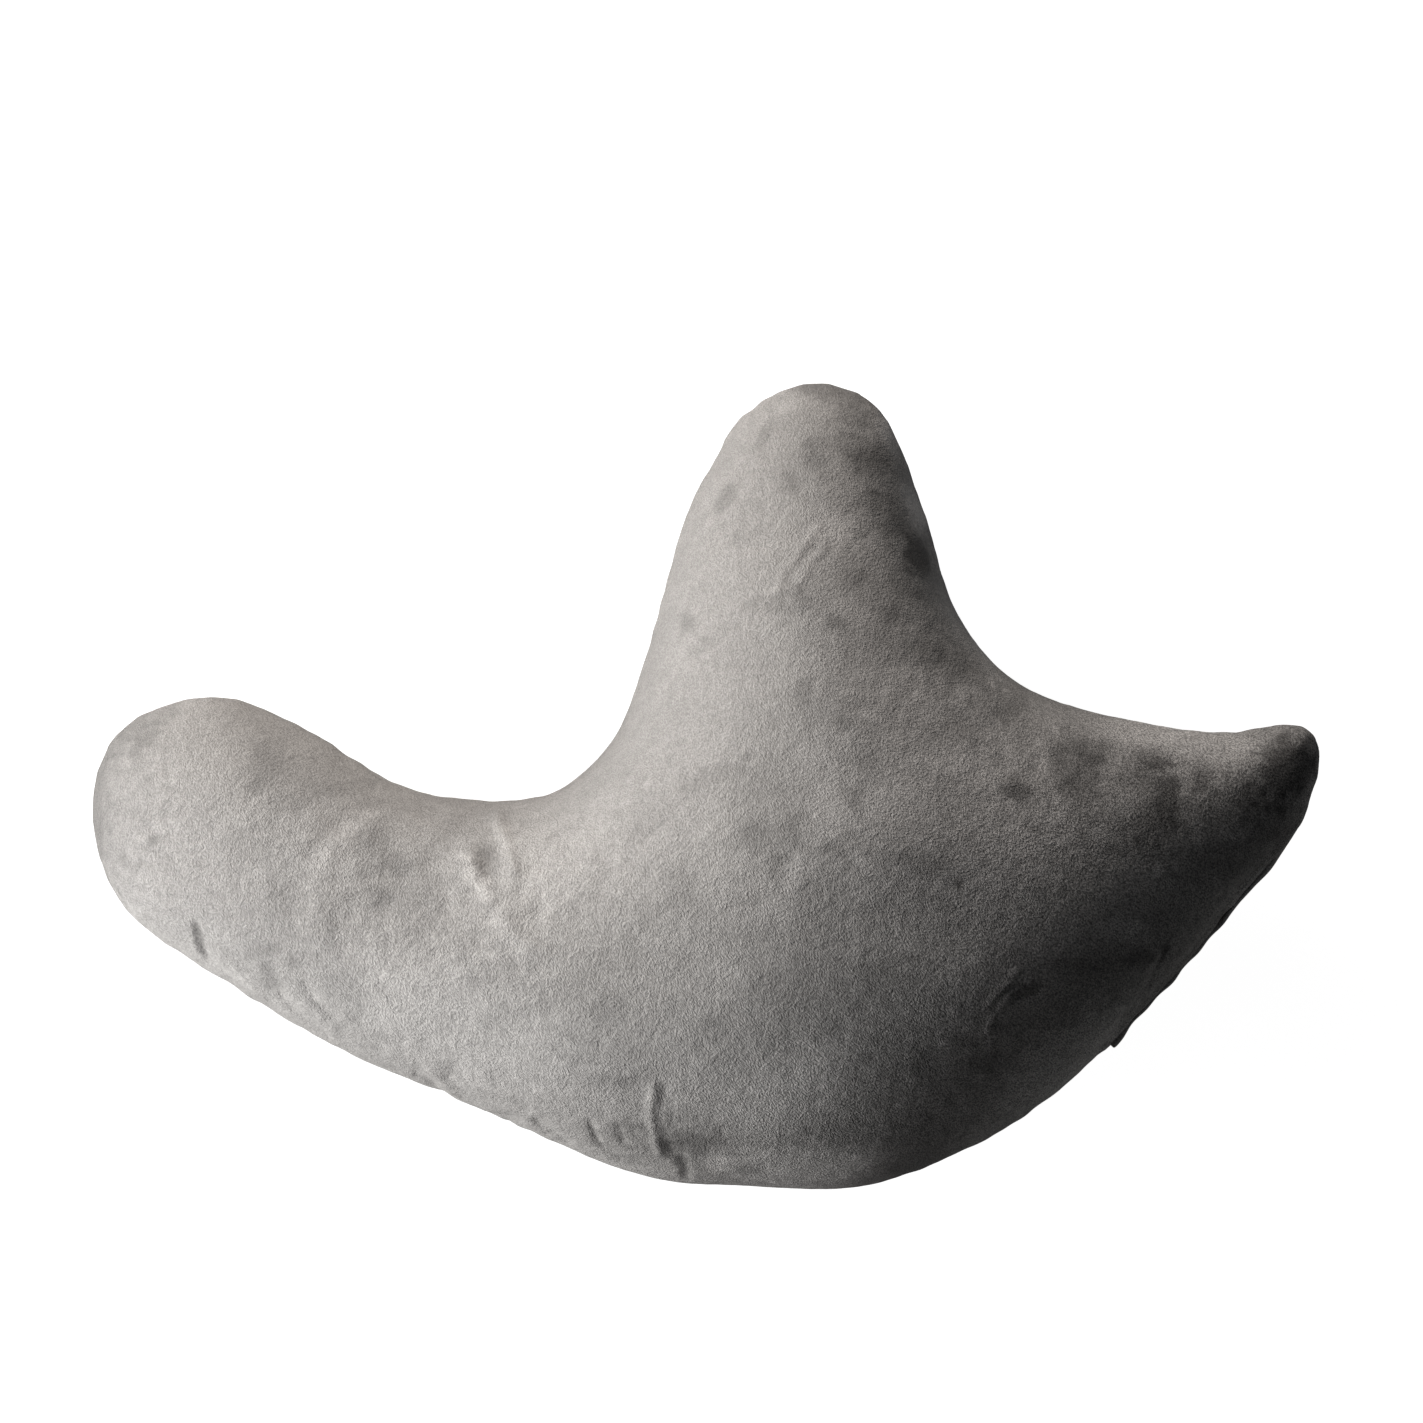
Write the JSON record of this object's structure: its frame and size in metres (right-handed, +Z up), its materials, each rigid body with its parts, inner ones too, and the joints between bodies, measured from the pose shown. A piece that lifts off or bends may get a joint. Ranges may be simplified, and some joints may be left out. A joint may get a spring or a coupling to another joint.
{
  "type": "shoulder support pillow",
  "caption": "Stuffed plush pillow with a long arm, a central horn and a short pointed arm round a broad belly, bent to sit round the neck and shoulder.",
  "frame": {"origin": "centre of the box seen from above, at the surface the pillow lies on", "axes": "+X from the long arm's end to the short arm's tip, +Y from the belly to the horn, +Z up out of the face, away from the surface it lies on"},
  "size_m": [0.701, 0.457, 0.1717],
  "materials": {
    "plush": "short-pile warm grey velour",
    "lip_plush": "short-pile warm grey velour, folded"
  },
  "bodies": {
    "root": {"body": "plush", "closing_lip": "lip_plush"}
  },
  "joints": []
}
